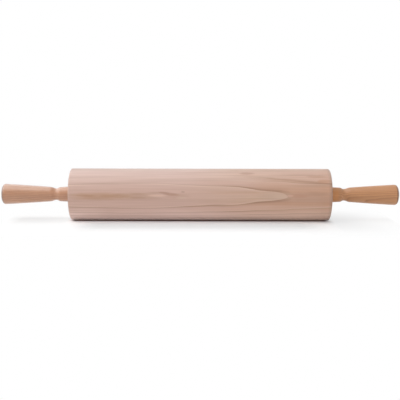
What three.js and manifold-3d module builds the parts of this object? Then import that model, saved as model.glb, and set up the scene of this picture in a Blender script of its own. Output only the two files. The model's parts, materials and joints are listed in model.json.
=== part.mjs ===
// Rolling pin with handles. A turned maple barrel spins on two ball bearings that sit in
// counterbores in its ends. A steel axle runs through the barrel and both bearings, and a turned
// hardwood handle screws onto each end of the axle by a threaded insert in its collar.
//
// Millimetres, +Z up. The pin lies along X, and the origin is on the table under its middle.
// Every turned outline below is drawn as (radius, distance along the pin).

import * as THREE from "three";
import { mergeVertices } from "three/addons/utils/BufferGeometryUtils.js";
import Module from "manifold-3d";

// Barrel
const BARREL_LENGTH = 381;
const BARREL_RADIUS = 38.1;
const BARREL_EDGE = 2.2; // eased corner at each end
const BARREL_BORE = 6.5; // radius of the hole that the axle runs through
const MOUTH_CHAMFER = 0.8;

// Ball bearing: 10 mm bore, 26 mm outside, 8 mm wide
const BEARING_BORE = 5;
const BEARING_OUTSIDE = 13;
const BEARING_WIDTH = 8;
const BEARING_RECESS = 1.5; // how far the bearing sits below the barrel's end face
const RING_CHAMFER = 0.3;
const INNER_LAND = 7.35; // radius of the inner ring's shoulders
const OUTER_LAND = 10.65; // radius of the outer ring's shoulders
const BALL_COUNT = 7;
const BALL_RADIUS = 2.381;
const PITCH_RADIUS = 9;
const BALL_CLEARANCE = 0.18; // between a ball and the grooves and pocket that it runs in
const BALL_FACETS = 10;
const BALL_BANDS = 7;

// Cage: a crown whose back is a plain ring and whose fingers reach between the balls
const CAGE_INSIDE = 7.95;
const CAGE_OUTSIDE = 10.05;
const CAGE_BACK = 2.95;
const CAGE_FRONT = 1.2;

// Dust shields, snapped into a rebate in the outer ring
const SHIELD_INSIDE = 7.6;
const SHIELD_THICKNESS = 0.4;
const SHIELD_LIP = 0.7;
const REBATE_RADIUS = 11.15;
const REBATE_DEPTH = 1;

// Axle
const AXLE_CORE = 6;
const AXLE_THREAD = 4.9;
const AXLE_RELIEF = 4.2; // groove where the thread runs out
const AXLE_RELIEF_WIDTH = 2;
const AXLE_PILOT = 4;
const AXLE_THREAD_REACH = 17; // past the barrel's end face
const AXLE_PILOT_REACH = 58;
const AXLE_CHAMFER = 1;

// Spacer washer between the bearing's inner ring and the handle
const SPACER_OUTSIDE = 7.2;
const SPACER_CHAMFER = 0.4;

// Threaded insert in the handle's collar
const INSERT_OUTSIDE = 7;
const INSERT_LENGTH = 16;
const INSERT_BORE = 5.1;
const INSERT_CHAMFER = 0.6;
const INSERT_GROOVE_DEPTH = 0.5;
const INSERT_GROOVE_HALF = 1.2;

// Handle, measured outwards from the barrel's end face
const HANDLE_START = 1.5; // running gap between the barrel and the collar
const HANDLE_REACH = 101.6;
const COLLAR_BASE = 11.3;
const COLLAR_TIP = 10.65;
const COLLAR_EASE = 0.8;
const COLLAR_REACH = 15;
const NECK_RADIUS = 8.6;
const NECK_REACH = 22.2;
const SHOULDER_RADIUS = 10.95;
const SHOULDER_REACH = 33;
const GRIP_RADIUS = 15.1;
const GRIP_ROUND = 4.6; // rounding of the grip's outer end
const GRIP_SWELL = 0.35; // how far the grip's line bellies out from straight
const PILOT_BORE = 4.2;
const PILOT_BORE_REACH = 60;
const DRILL_POINT = 2.4;

// Fits: parts that are pressed or clamped together keep this gap
const SEAT_GAP = 0.05;

// Facets round each turned piece
const BARREL_FACETS = 48;
const HANDLE_FACETS = 32;
const RING_FACETS = 24;
const CAGE_FACETS = 3 * BALL_COUNT;
const AXLE_FACETS = 20;
const SMALL_FACETS = 20;

// Straight steps along each curve of an outline
const COVE_STEPS = 5;
const ROUND_STEPS = 2;

const BARREL_HALF = BARREL_LENGTH / 2;
const BEARING_CENTRE = BARREL_HALF - BEARING_RECESS - BEARING_WIDTH / 2;
const BEARING_FLOOR = BARREL_HALF - BEARING_RECESS - BEARING_WIDTH;
const ROUND_REACH = HANDLE_REACH - GRIP_ROUND;
const GROOVE_RADIUS = BALL_RADIUS + BALL_CLEARANCE;
const GROOVE_HALF = Math.sqrt(GROOVE_RADIUS ** 2 - (PITCH_RADIUS - INNER_LAND) ** 2);
const GROOVE_ANGLE = Math.asin(GROOVE_HALF / GROOVE_RADIUS);

const wasm = await Module();
wasm.setup();

// Materials

const finish = (color, roughness, metalness) => (
  new THREE.MeshStandardMaterial({ color, roughness, metalness })
);
const maple = () => finish(0xd0b09a, 0.5, 0);
const handleWood = () => finish(0xb98a63, 0.35, 0);
const bearingSteel = () => finish(0xb9bcc0, 0.2, 1);
const axleSteel = () => finish(0x9a9da1, 0.35, 1);
const platedSteel = () => finish(0xa9adb1, 0.3, 1);
const brass = () => finish(0xb59a55, 0.35, 1);
const nylon = () => finish(0xd8d2c2, 0.6, 0);

// Solids

/** Radius at the corners of a many-sided hole whose flats lie on the given radius. */
function holeCorner(radius, facets) {
  return radius / Math.cos(Math.PI / facets);
}

/** A piece turned about the pin's axis, with a flat facet facing the table. */
function turned(name, outline, facets, material) {
  const geometry = new THREE.LatheGeometry(outline, facets, Math.PI / facets);
  return piece(name, geometry, material);
}

function piece(name, geometry, material) {
  const mesh = new THREE.Mesh(geometry, material);
  mesh.name = name;
  return mesh;
}

/** A closed geometry as a solid that can be cut. */
function solidOf(geometry) {
  const bare = geometry.clone();
  bare.deleteAttribute("normal");
  bare.deleteAttribute("uv");
  const merged = mergeVertices(bare);
  return new wasm.Manifold(new wasm.Mesh({
    numProp: 3,
    vertProperties: new Float32Array(merged.attributes.position.array),
    triVerts: new Uint32Array(merged.index.array),
  }));
}

/** The geometry of a cut solid. */
function geometryOf(solid) {
  const mesh = solid.getMesh();
  const geometry = new THREE.BufferGeometry();
  geometry.setAttribute("position", new THREE.BufferAttribute(mesh.vertProperties, 3));
  geometry.setIndex(new THREE.BufferAttribute(mesh.triVerts, 1));
  geometry.computeVertexNormals();
  return geometry;
}

// Barrel and axle

/** One end of the barrel's bore, from the end face to the through hole; side is 1 or -1. */
function counterbore(side) {
  const seat = holeCorner(BEARING_OUTSIDE + SEAT_GAP, BARREL_FACETS);
  const floor = BEARING_FLOOR - SEAT_GAP;
  return [
    [seat + MOUTH_CHAMFER, BARREL_HALF],
    [seat, BARREL_HALF - MOUTH_CHAMFER],
    [seat, floor],
    [OUTER_LAND, floor],
    [OUTER_LAND, floor - REBATE_DEPTH],
    [BARREL_BORE, floor - REBATE_DEPTH],
  ].map(([radius, along]) => [radius, side * along]);
}

function barrel() {
  const outside = holeCorner(BARREL_RADIUS, BARREL_FACETS);
  const corner = outside - BARREL_EDGE;
  const straight = BARREL_HALF - BARREL_EDGE;
  const path = new THREE.Path();
  path.absarc(corner, -straight, BARREL_EDGE, -Math.PI / 2, 0, false);
  path.absarc(corner, straight, BARREL_EDGE, 0, Math.PI / 2, false);
  counterbore(1).forEach(([radius, along]) => path.lineTo(radius, along));
  counterbore(-1).reverse().forEach(([radius, along]) => path.lineTo(radius, along));
  path.closePath();
  return turned("barrel", path.getPoints(ROUND_STEPS), BARREL_FACETS, maple());
}

/** Half of the axle's outline, from the shoulder behind one bearing to that end's tip. */
function axleEnd() {
  const shoulder = BEARING_FLOOR - SEAT_GAP;
  const journal = BEARING_BORE - SEAT_GAP;
  const threadStart = BARREL_HALF + HANDLE_START;
  const threadEnd = BARREL_HALF + AXLE_THREAD_REACH;
  const tip = BARREL_HALF + AXLE_PILOT_REACH;
  return [
    [AXLE_CORE, shoulder],
    [journal, shoulder],
    [journal, threadStart - AXLE_RELIEF_WIDTH],
    [AXLE_RELIEF, threadStart - AXLE_RELIEF_WIDTH],
    [AXLE_RELIEF, threadStart],
    [AXLE_THREAD, threadStart + AXLE_CHAMFER],
    [AXLE_THREAD, threadEnd - AXLE_CHAMFER],
    [AXLE_PILOT, threadEnd],
    [AXLE_PILOT, tip - AXLE_CHAMFER],
    [AXLE_PILOT - AXLE_CHAMFER, tip],
    [0, tip],
  ];
}

function axle() {
  const outward = axleEnd();
  const inward = outward.map(([radius, along]) => [radius, -along]).reverse();
  const outline = [...inward, ...outward].map(([radius, along]) => new THREE.Vector2(radius, along));
  return turned("axle", outline, AXLE_FACETS, axleSteel());
}

// Ball bearing, drawn about its own middle

function outerRing(name) {
  const half = BEARING_WIDTH / 2;
  const rebate = holeCorner(REBATE_RADIUS, RING_FACETS);
  const path = new THREE.Path();
  path.moveTo(BEARING_OUTSIDE - RING_CHAMFER, -half);
  path.lineTo(BEARING_OUTSIDE, RING_CHAMFER - half);
  path.lineTo(BEARING_OUTSIDE, half - RING_CHAMFER);
  path.lineTo(BEARING_OUTSIDE - RING_CHAMFER, half);
  path.lineTo(rebate, half);
  path.lineTo(rebate, half - REBATE_DEPTH);
  path.lineTo(OUTER_LAND, half - REBATE_DEPTH);
  path.absarc(PITCH_RADIUS, 0, GROOVE_RADIUS, GROOVE_ANGLE, -GROOVE_ANGLE, true);
  path.lineTo(OUTER_LAND, REBATE_DEPTH - half);
  path.lineTo(rebate, REBATE_DEPTH - half);
  path.lineTo(rebate, -half);
  path.closePath();
  return turned(name, path.getPoints(ROUND_STEPS), RING_FACETS, bearingSteel());
}

function innerRing(name) {
  const half = BEARING_WIDTH / 2;
  const bore = holeCorner(BEARING_BORE, RING_FACETS);
  const path = new THREE.Path();
  path.moveTo(bore + RING_CHAMFER, -half);
  path.lineTo(INNER_LAND - RING_CHAMFER, -half);
  path.lineTo(INNER_LAND, RING_CHAMFER - half);
  path.absarc(PITCH_RADIUS, 0, GROOVE_RADIUS, Math.PI + GROOVE_ANGLE, Math.PI - GROOVE_ANGLE, true);
  path.lineTo(INNER_LAND, half - RING_CHAMFER);
  path.lineTo(INNER_LAND - RING_CHAMFER, half);
  path.lineTo(bore + RING_CHAMFER, half);
  path.lineTo(bore, half - RING_CHAMFER);
  path.lineTo(bore, RING_CHAMFER - half);
  path.closePath();
  return turned(name, path.getPoints(ROUND_STEPS), RING_FACETS, bearingSteel());
}

/** Where one ball's centre lies on the pitch circle. */
function ballCentre(index) {
  const turn = (2 * Math.PI * index) / BALL_COUNT;
  return new THREE.Vector3(PITCH_RADIUS * Math.sin(turn), 0, PITCH_RADIUS * Math.cos(turn));
}

function ballGeometry(radius) {
  return new THREE.SphereGeometry(radius, BALL_FACETS, BALL_BANDS);
}

function ball(name, index) {
  const mesh = piece(name, ballGeometry(BALL_RADIUS), bearingSteel());
  mesh.position.copy(ballCentre(index));
  return mesh;
}

function cage(name) {
  const outline = [
    [CAGE_INSIDE, -CAGE_BACK],
    [CAGE_OUTSIDE, -CAGE_BACK],
    [CAGE_OUTSIDE, CAGE_FRONT],
    [CAGE_INSIDE, CAGE_FRONT],
    [CAGE_INSIDE, -CAGE_BACK],
  ].map(([radius, along]) => new THREE.Vector2(radius, along));
  let solid = solidOf(new THREE.LatheGeometry(outline, CAGE_FACETS, Math.PI / CAGE_FACETS));
  for (let index = 0; index < BALL_COUNT; index += 1) {
    const pocket = ballGeometry(GROOVE_RADIUS);
    const centre = ballCentre(index);
    pocket.translate(centre.x, centre.y, centre.z);
    solid = solid.subtract(solidOf(pocket));
  }
  return piece(name, geometryOf(solid), nylon());
}

/** A dust shield: a thin washer with its rim turned outwards; side is 1 or -1 along the pin. */
function shield(name, side) {
  const inner = BEARING_WIDTH / 2 - REBATE_DEPTH + SEAT_GAP;
  const rim = REBATE_RADIUS - SEAT_GAP;
  const outline = [
    [SHIELD_INSIDE, inner],
    [rim, inner],
    [rim, inner + SHIELD_LIP],
    [rim - SHIELD_THICKNESS, inner + SHIELD_LIP],
    [rim - SHIELD_THICKNESS, inner + SHIELD_THICKNESS],
    [SHIELD_INSIDE, inner + SHIELD_THICKNESS],
    [SHIELD_INSIDE, inner],
  ].map(([radius, along]) => new THREE.Vector2(radius, side * along));
  const ordered = side > 0 ? outline : outline.reverse();
  return turned(name, ordered, RING_FACETS, platedSteel());
}

function bearing(side) {
  const group = new THREE.Group();
  group.add(outerRing(`${side}_bearing_outer_ring`));
  group.add(innerRing(`${side}_bearing_inner_ring`));
  group.add(cage(`${side}_bearing_cage`));
  for (let index = 0; index < BALL_COUNT; index += 1) {
    group.add(ball(`${side}_bearing_ball_${index + 1}`, index));
  }
  group.add(shield(`${side}_bearing_outer_shield`, 1));
  group.add(shield(`${side}_bearing_inner_shield`, -1));
  group.position.y = BEARING_CENTRE;
  return group;
}

// Handle and what holds it, drawn outwards from the barrel's end face

function spacerWasher(name) {
  const from = SEAT_GAP - BEARING_RECESS;
  const to = HANDLE_START - SEAT_GAP;
  const bore = holeCorner(BEARING_BORE, SMALL_FACETS);
  const outline = [
    [bore, from],
    [SPACER_OUTSIDE - SPACER_CHAMFER, from],
    [SPACER_OUTSIDE, from + SPACER_CHAMFER],
    [SPACER_OUTSIDE, to - SPACER_CHAMFER],
    [SPACER_OUTSIDE - SPACER_CHAMFER, to],
    [bore, to],
    [bore, from],
  ].map(([radius, along]) => new THREE.Vector2(radius, along));
  return turned(name, outline, SMALL_FACETS, platedSteel());
}

/** A brass sleeve with one holding groove round its middle. */
function threadedInsert(name) {
  const from = HANDLE_START + SEAT_GAP;
  const to = from + INSERT_LENGTH;
  const middle = (from + to) / 2;
  const bore = holeCorner(INSERT_BORE, SMALL_FACETS);
  const outline = [
    [bore, from],
    [INSERT_OUTSIDE - INSERT_CHAMFER, from],
    [INSERT_OUTSIDE, from + INSERT_CHAMFER],
    [INSERT_OUTSIDE, middle - INSERT_GROOVE_HALF],
    [INSERT_OUTSIDE - INSERT_GROOVE_DEPTH, middle - INSERT_GROOVE_HALF],
    [INSERT_OUTSIDE - INSERT_GROOVE_DEPTH, middle + INSERT_GROOVE_HALF],
    [INSERT_OUTSIDE, middle + INSERT_GROOVE_HALF],
    [INSERT_OUTSIDE, to - INSERT_CHAMFER],
    [INSERT_OUTSIDE - INSERT_CHAMFER, to],
    [bore, to],
    [bore, from],
  ].map(([radius, along]) => new THREE.Vector2(radius, along));
  return turned(name, outline, SMALL_FACETS, brass());
}

/** The handle's blind bore, from its drilled end to the collar's face. */
function handleBore() {
  const insertSeat = holeCorner(INSERT_OUTSIDE + SEAT_GAP, HANDLE_FACETS);
  const insertFloor = HANDLE_START + INSERT_LENGTH + 2 * SEAT_GAP;
  const pilot = holeCorner(PILOT_BORE, HANDLE_FACETS);
  return [
    [0, PILOT_BORE_REACH + DRILL_POINT],
    [pilot, PILOT_BORE_REACH],
    [pilot, insertFloor],
    [insertSeat, insertFloor],
    [insertSeat, HANDLE_START],
  ].map(([radius, along]) => new THREE.Vector2(radius, along));
}

/** Collar, cove and swelling grip, as curves through the sizes above. */
function handleOutside() {
  const path = new THREE.Path();
  path.moveTo(COLLAR_BASE - COLLAR_EASE, HANDLE_START);
  path.lineTo(COLLAR_BASE, HANDLE_START + COLLAR_EASE);
  path.lineTo(COLLAR_TIP, COLLAR_REACH);
  const fall = NECK_REACH - COLLAR_REACH;
  path.bezierCurveTo(
    COLLAR_TIP, COLLAR_REACH + fall * 0.55,
    NECK_RADIUS, NECK_REACH - fall * 0.45,
    NECK_RADIUS, NECK_REACH,
  );
  const rise = SHOULDER_REACH - NECK_REACH;
  path.bezierCurveTo(
    NECK_RADIUS, NECK_REACH + rise * 0.35,
    SHOULDER_RADIUS, SHOULDER_REACH - rise * 0.5,
    SHOULDER_RADIUS, SHOULDER_REACH,
  );
  path.quadraticCurveTo(
    (SHOULDER_RADIUS + GRIP_RADIUS) / 2 + GRIP_SWELL, (SHOULDER_REACH + ROUND_REACH) / 2,
    GRIP_RADIUS, ROUND_REACH,
  );
  return path.getPoints(COVE_STEPS);
}

/** The rounded outer end, closed on the pin's axis. */
function handleEnd() {
  const path = new THREE.Path();
  path.absarc(GRIP_RADIUS - GRIP_ROUND, ROUND_REACH, GRIP_ROUND, 0, Math.PI / 2, false);
  path.lineTo(0, HANDLE_REACH);
  return path.getPoints(ROUND_STEPS).slice(1);
}

function handle(name) {
  const outline = [...handleBore(), ...handleOutside(), ...handleEnd()];
  return turned(name, outline, HANDLE_FACETS, handleWood());
}

/** Everything at one end of the pin, running outwards along the pin's axis. */
function endPieces(side) {
  const end = new THREE.Group();
  end.add(bearing(side));
  const grip = new THREE.Group();
  grip.add(spacerWasher(`${side}_spacer_washer`));
  grip.add(threadedInsert(`${side}_threaded_insert`));
  grip.add(handle(`${side}_handle`));
  grip.position.y = BARREL_HALF;
  end.add(grip);
  return end;
}

function rollingPin() {
  const pin = new THREE.Group();
  pin.add(barrel());
  pin.add(axle());
  pin.add(endPieces("right"));
  const leftEnd = endPieces("left");
  leftEnd.rotation.x = Math.PI;
  pin.add(leftEnd);
  pin.rotation.z = -Math.PI / 2;
  pin.position.z = BARREL_RADIUS;
  return pin;
}

const scene = new THREE.Group();
scene.add(rollingPin());

export default scene;
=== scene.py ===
"""Dress a rolling pin: a maple barrel that spins on ball bearings between two lacquered handles.

The pin lies along X on a white floor. The viewer stands on the -Y side and +Z is up. Sizes are metres.
"""

from __future__ import annotations

import json
import logging
import math
from dataclasses import dataclass
from enum import Enum
from typing import Any, Mapping, Optional, Sequence, Union

import bmesh
import bpy
from mathutils import Color, Matrix, Quaternion, Vector
from mathutils.geometry import interpolate_bezier


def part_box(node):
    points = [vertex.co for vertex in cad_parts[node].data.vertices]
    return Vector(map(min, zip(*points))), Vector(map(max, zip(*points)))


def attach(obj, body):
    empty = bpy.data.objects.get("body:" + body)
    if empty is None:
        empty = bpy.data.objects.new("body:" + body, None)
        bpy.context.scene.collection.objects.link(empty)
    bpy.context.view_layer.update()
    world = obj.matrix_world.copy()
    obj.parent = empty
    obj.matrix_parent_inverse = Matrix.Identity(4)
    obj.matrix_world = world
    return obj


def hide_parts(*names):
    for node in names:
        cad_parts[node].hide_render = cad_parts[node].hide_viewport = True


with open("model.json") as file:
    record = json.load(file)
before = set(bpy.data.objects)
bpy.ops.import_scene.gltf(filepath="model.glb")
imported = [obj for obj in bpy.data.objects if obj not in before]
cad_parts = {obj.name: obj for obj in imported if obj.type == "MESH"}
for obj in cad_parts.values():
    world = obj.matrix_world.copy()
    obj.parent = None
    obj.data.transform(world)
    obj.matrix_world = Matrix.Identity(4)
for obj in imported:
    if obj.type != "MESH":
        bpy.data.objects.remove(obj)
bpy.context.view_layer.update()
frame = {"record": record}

MM = 0.001
QUARTER_TURN = 0.5 * math.pi
HALF_TURN = math.pi
FULL_TURN = 2.0 * math.pi
ORIGIN = (0.0, 0.0, 0.0)
PIN_AXIS = (1.0, 0.0, 0.0)
WELD_DISTANCE = 1e-6
SHARP_ANGLE = math.radians(32.0)
SCREEN_FULL = 255.0
LOG = logging.getLogger("rolling_pin")

Colour = tuple[float, float, float, float]
Triple = tuple[float, float, float]
Point = Union[Vector, tuple[float, float]]

BLACK: Colour = (0.0, 0.0, 0.0, 1.0)
WHITE: Colour = (1.0, 1.0, 1.0, 1.0)


def srgb(red: int, green: int, blue: int) -> Colour:
    """Give the scene's linear colour, with full alpha, for a screen colour from 0 to 255."""
    screen = Color((red / SCREEN_FULL, green / SCREEN_FULL, blue / SCREEN_FULL))
    return (*screen.from_srgb_to_scene_linear(), 1.0)


# Shader maths


class Value:
    """A shader socket that takes part in sums as a number does."""

    def __init__(self, shader: Shader, socket: bpy.types.NodeSocket) -> None:
        """Keep the socket and the shader that it belongs to."""
        self.shader = shader
        self.socket = socket

    def other(self, name: str) -> Value:
        """Another output of the same node."""
        return Value(self.shader, self.socket.node.outputs[name])

    def maths(self, operation: str, *operands: Operand) -> Value:
        """This value and then the operands, through one Math node."""
        return self.shader.node("ShaderNodeMath", {"operation": operation}, [self, *operands])

    def __add__(self, other: Operand) -> Value:
        """Sum."""
        return self.maths("ADD", other)

    def __sub__(self, other: Operand) -> Value:
        """Difference."""
        return self.maths("SUBTRACT", other)

    def __rsub__(self, other: Operand) -> Value:
        """Difference from a number in front."""
        return self.shader.node("ShaderNodeMath", {"operation": "SUBTRACT"}, [other, self])

    def __mul__(self, other: Operand) -> Value:
        """Product."""
        return self.maths("MULTIPLY", other)

    def __truediv__(self, other: Operand) -> Value:
        """Quotient."""
        return self.maths("DIVIDE", other)

    def __or__(self, other: Operand) -> Value:
        """Either of two masks: the larger value."""
        return self.maths("MAXIMUM", other)

    def __abs__(self) -> Value:
        """Size without sign."""
        return self.maths("ABSOLUTE")

    __radd__ = __add__
    __rmul__ = __mul__


Operand = Union[Value, float]
Inputs = Union[Mapping[Union[str, int], Any], Sequence[Any]]


@dataclass(frozen=True)
class Fade:
    """A smooth change from its least, where a value is at start, to its most, where it is at stop."""

    start: float
    stop: float
    most: float = 1.0
    least: float = 0.0

    def of(self, value: Value) -> Value:
        """The fade's strength at a value.

        Args:
            value: What the fade follows.

        Returns:
            The strength.
        """
        inputs = {
            "Value": value,
            "From Min": self.start,
            "From Max": self.stop,
            "To Min": self.least,
            "To Max": self.most,
        }
        return value.shader.node("ShaderNodeMapRange", {"interpolation_type": "SMOOTHSTEP"}, inputs)


@dataclass(frozen=True)
class Pattern:
    """Noise that varies so many times in a metre along X, Y and Z."""

    counts: Triple
    detail: float = 2.0
    seed: float = 0.0


class Shader:
    """A node tree and the one method that adds nodes to it."""

    MIX_FACTOR = 0
    MIX_FIRST = 6
    MIX_SECOND = 7
    MIX_COLOUR = 2
    NOISE_MIDDLE = 0.5
    NOISE_ROUGHNESS = 0.55
    SEED_STEPS = (1.0, 1.7, 2.3)

    def __init__(self, tree: bpy.types.NodeTree) -> None:
        """Start from an empty tree."""
        self.tree = tree
        self.tree.nodes.clear()

    def add(self, kind: str, settings: Mapping[str, Any], inputs: Inputs) -> bpy.types.Node:
        """Add one node, set its settings, then fill or link its sockets.

        Args:
            kind: The node's type, as Blender names it.
            settings: Attributes to set first; "stops" fills a ramp.
            inputs: Values or links by socket name or number, or in socket order.

        Returns:
            The new node.
        """
        node = self.tree.nodes.new(kind)
        for name, setting in settings.items():
            if name == "stops":
                self.fill_ramp(node.color_ramp, setting)
            else:
                setattr(node, name, setting)
        pairs = inputs.items() if isinstance(inputs, Mapping) else enumerate(inputs)
        for key, given in pairs:
            if isinstance(given, Value):
                self.tree.links.new(given.socket, node.inputs[key])
            else:
                node.inputs[key].default_value = given
        return node

    def node(
        self,
        kind: str,
        settings: Optional[Mapping[str, Any]] = None,
        inputs: Optional[Inputs] = None,
        output: Union[str, int] = 0,
    ) -> Value:
        """Add one node and give one of its outputs.

        Args:
            kind: The node's type, as Blender names it.
            settings: Attributes to set first.
            inputs: Values or links for its sockets.
            output: The wanted output's name or number.

        Returns:
            The output, ready for sums.
        """
        return Value(self, self.add(kind, settings or {}, inputs or {}).outputs[output])

    @staticmethod
    def fill_ramp(ramp: bpy.types.ColorRamp, stops: Sequence[tuple[float, Colour]]) -> None:
        """Give a ramp its stops.

        Args:
            ramp: The ramp, with the two stops that it starts with.
            stops: Positions from 0 to 1 and their colours, in order.
        """
        while len(ramp.elements) < len(stops):
            ramp.elements.new(1.0)
        for element, (position, colour) in zip(ramp.elements, stops):
            element.position = position
            element.color = colour

    def place(self, shift: Triple = ORIGIN) -> Value:
        """Object coordinates, moved so that a pattern is centred where it should be."""
        corner = self.node("ShaderNodeTexCoord", output="Object")
        return self.node("ShaderNodeMapping", {}, {"Vector": corner, "Location": shift})

    def axes(self, place: Value) -> Value:
        """A place's distance along X, with its Y and Z as other outputs."""
        return self.node("ShaderNodeSeparateXYZ", {}, [place])

    def noise(self, place: Value, pattern: Pattern, seed: float = 0.0) -> Value:
        """Noise that follows a pattern.

        Args:
            place: Where the noise is read.
            pattern: How finely it varies.
            seed: Moves the pattern, so that two pieces differ.

        Returns:
            A value about 0.5, between 0 and 1.
        """
        shift = tuple((pattern.seed + seed) * step for step in self.SEED_STEPS)
        stretched = self.node(
            "ShaderNodeMapping", {}, {"Vector": place, "Location": shift, "Scale": pattern.counts}
        )
        fineness = {"Scale": 1.0, "Detail": pattern.detail, "Roughness": self.NOISE_ROUGHNESS}
        return self.node("ShaderNodeTexNoise", {}, {"Vector": stretched, **fineness})

    def ripple(self, place: Value, pattern: Pattern, seed: float = 0.0) -> Value:
        """Noise about 0."""
        return self.noise(place, pattern, seed) - self.NOISE_MIDDLE

    def mix(self, share: Operand, first: Any, second: Any) -> Value:
        """Mix two colours.

        Args:
            share: How much of the second colour shows.
            first: The colour underneath.
            second: The colour on top.

        Returns:
            The mixed colour.
        """
        return self.node(
            "ShaderNodeMix",
            {"data_type": "RGBA"},
            {self.MIX_FACTOR: share, self.MIX_FIRST: first, self.MIX_SECOND: second},
            self.MIX_COLOUR,
        )

    def bump(self, height: Value, strength: float, distance: float) -> Value:
        """A normal that follows a height."""
        inputs = {"Height": height, "Strength": strength, "Distance": distance}
        return self.node("ShaderNodeBump", {}, inputs)

    def principled(self, inputs: Mapping[str, Any]) -> None:
        """Finish a material with one Principled surface."""
        surface = self.node("ShaderNodeBsdfPrincipled", {}, inputs)
        self.add("ShaderNodeOutputMaterial", {}, {"Surface": surface})


def new_material(name: str) -> tuple[bpy.types.Material, Shader]:
    """Start a material.

    Args:
        name: The material's name.

    Returns:
        The material and its empty shader.
    """
    material = bpy.data.materials.new(name)
    material.use_nodes = True
    return material, Shader(material.node_tree)


# Where things are


@dataclass(frozen=True)
class Layout:
    """The pin's main places, taken from the CAD frame."""

    axis_height: float
    barrel_half: float
    barrel_radius: float
    pin_half: float

    @classmethod
    def from_frame(cls) -> Layout:
        """Read the barrel's and the handles' boxes.

        Returns:
            The layout.
        """
        low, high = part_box("barrel")
        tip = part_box("right_handle")[1].x
        return cls((low.z + high.z) / 2.0, (high.x - low.x) / 2.0, (high.z - low.z) / 2.0, tip)


class End(Enum):
    """The pin's two ends."""

    LEFT = "left"
    RIGHT = "right"

    def matrix(self, layout: Layout) -> Matrix:
        """Carry a piece drawn along +X from the barrel's end face to this end of the pin.

        Args:
            layout: The pin's main places.

        Returns:
            The matrix that puts the piece in place.
        """
        lift = Matrix.Translation((0.0, 0.0, layout.axis_height))
        facing = Matrix.Rotation(HALF_TURN if self is End.LEFT else 0.0, 4, "Z")
        return lift @ facing @ Matrix.Translation((layout.barrel_half, 0.0, 0.0))

    def node(self, piece: str) -> str:
        """The CAD node's name for a piece at this end."""
        return f"{self.value}_{piece}"


# Finishes


@dataclass(frozen=True)
class Mark:
    """A long soft mark on the barrel's front: a streak, a fleck or a pale lens, in millimetres."""

    along: float
    rise: float
    half_length: float
    half_height: float
    strength: float
    colour: Colour
    tilt: float = 0.0
    broken: float = 2.4

    EDGE = Fade(1.9, 0.0)
    FRONT = Fade(0.0, -8.0 * MM)

    def share(self, along: Value, ragged: Value) -> Value:
        """How much of the mark's colour shows.

        Args:
            along: Distance along the barrel, beside the other two coordinates.
            ragged: Noise about 0 that breaks up the mark's edge.

        Returns:
            A share from 0 to 1.
        """
        run = along - self.along * MM
        span = run / (self.half_length * MM)
        height = (along.other("Z") - self.rise * MM - run * self.tilt) / (self.half_height * MM)
        reach = span * span + height * height + ragged * self.broken
        return self.EDGE.of(reach) * self.FRONT.of(along.other("Y")) * self.strength


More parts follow.
